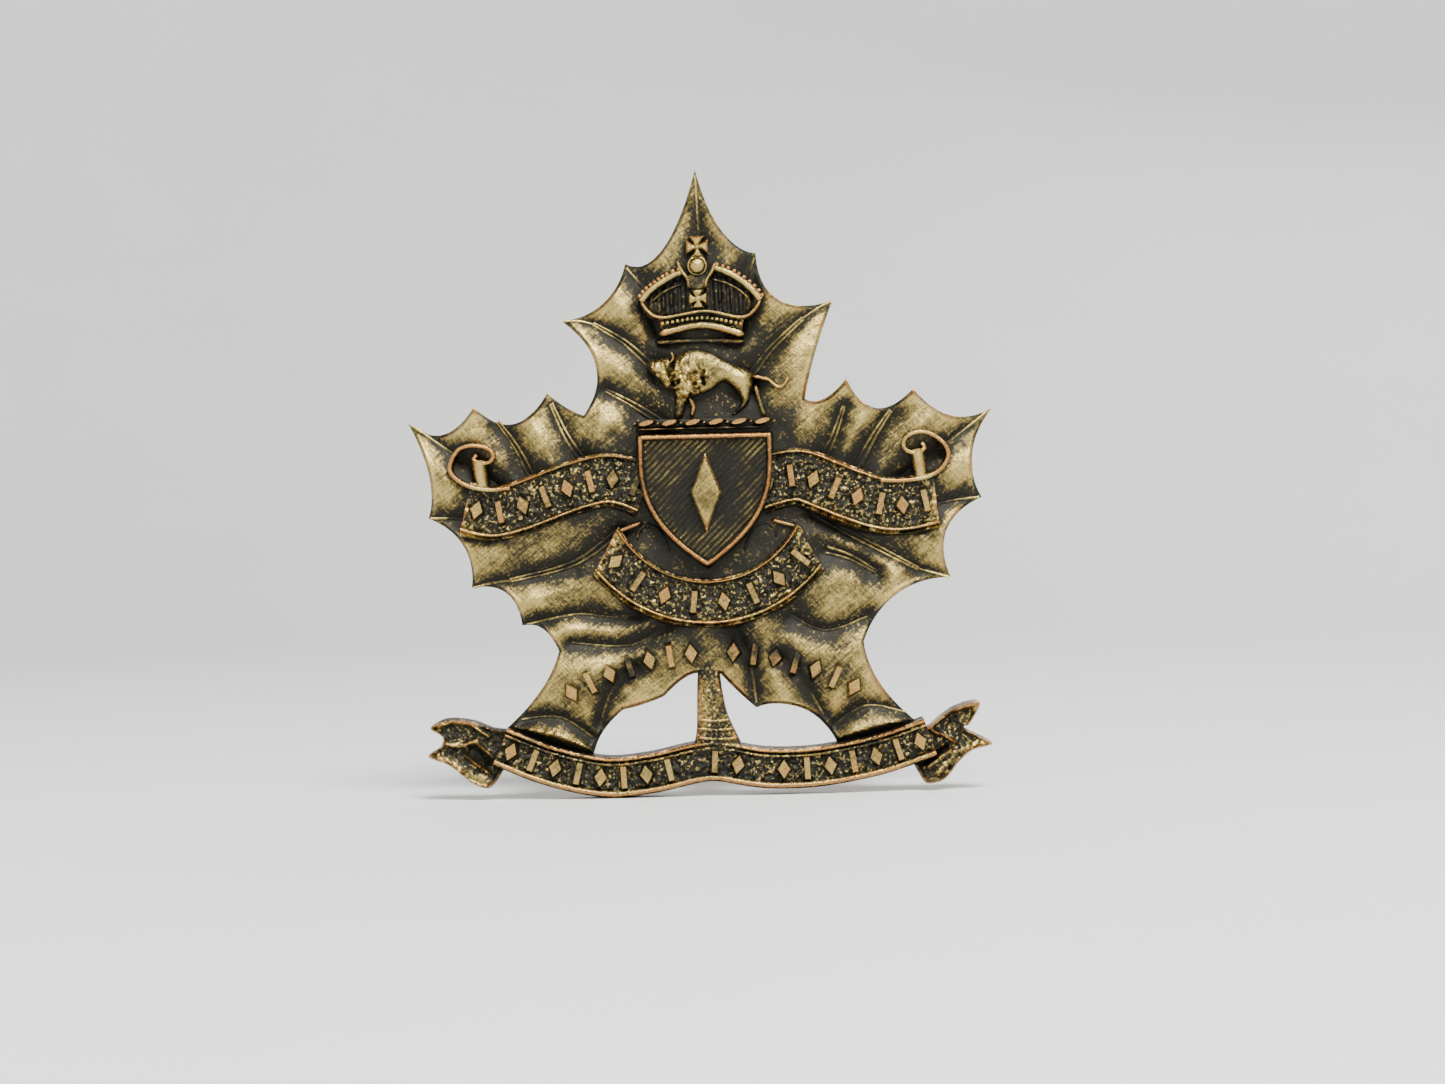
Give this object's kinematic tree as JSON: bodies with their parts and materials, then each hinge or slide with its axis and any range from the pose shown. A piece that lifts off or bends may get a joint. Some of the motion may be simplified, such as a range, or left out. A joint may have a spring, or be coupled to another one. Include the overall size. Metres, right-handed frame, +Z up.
{
  "type": "cap badge",
  "caption": "Struck bronze leaf-shaped cap badge with crown, bison, shield and scrolls in relief, held by rear wire lugs and a split pin.",
  "frame": {"origin": "on the flat back rim's plane, midway between the two lugs", "axes": "+Z up the badge as it is worn, -Y out of its face, +Y towards the cap, +X to the right of someone who faces it"},
  "size_m": [0.0448, 0.0094, 0.048],
  "materials": {
    "struck_bronze": "aged struck bronze, dark in the recesses, copper on worn edges",
    "lug_wire": "toned copper wire",
    "solder": "dull grey soft solder",
    "pin_brass": "handled brass wire"
  },
  "bodies": {
    "badge": {"struck_badge": "struck_bronze", "left_lug": "lug_wire", "right_lug": "lug_wire", "left_upper_solder": "solder", "left_lower_solder": "solder", "right_upper_solder": "solder", "right_lower_solder": "solder"},
    "pin": {"split_pin": "pin_brass"}
  },
  "joints": [
    {"name": "pin_slide", "type": "slide", "parent": "badge", "child": "pin", "axis": [1, 0, 0], "range_m": [0, 0.035]}
  ]
}
